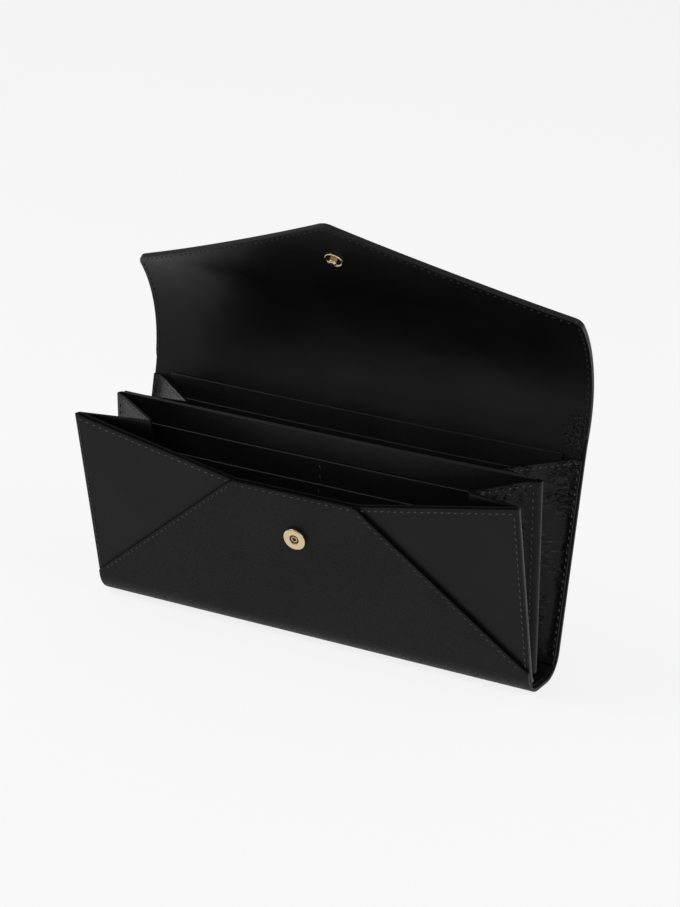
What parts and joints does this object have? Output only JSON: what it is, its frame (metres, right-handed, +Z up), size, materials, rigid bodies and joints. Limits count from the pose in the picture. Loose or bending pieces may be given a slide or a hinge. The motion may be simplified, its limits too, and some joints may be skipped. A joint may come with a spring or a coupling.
{
  "type": "envelope wallet",
  "caption": "Long leather envelope wallet with bellows sides, a card divider, card rows on the back wall and a pointed flap that closes on a press snap; it stands open.",
  "frame": {"origin": "middle of the flat strip of the bottom fold, on the surface it stands on", "axes": "+X along the wallet to its right end, +Y from the front panel to the back wall, +Z up"},
  "size_m": [0.2, 0.0643, 0.1772],
  "materials": {
    "shell_leather": "fine pebble grain, satin",
    "lining_leather": "smooth, satin",
    "brass": "polished"
  },
  "bodies": {
    "body": {"outer_shell": "shell_leather", "body_lining": "lining_leather", "side_panel_right": "shell_leather", "side_panel_left": "shell_leather", "rear_slip_pocket": "lining_leather", "rear_card_row_1": "lining_leather", "rear_card_row_2": "lining_leather", "divider_leaf_front": "lining_leather", "divider_leaf_back": "lining_leather", "divider_card_row_1": "lining_leather", "divider_card_row_2": "lining_leather", "snap_socket": "brass", "snap_socket_spring": "brass", "snap_socket_eyelet": "brass"},
    "flap": {"flap_outer": "shell_leather", "flap_lining": "lining_leather", "snap_stud": "brass", "snap_cap": "brass"}
  },
  "joints": [
    {"name": "flap_fold", "type": "hinge", "parent": "body", "child": "flap", "pos_m": [0, 0.02606, 0.09358], "axis": [1, 0, 0], "range_deg": [-78, 70]}
  ]
}
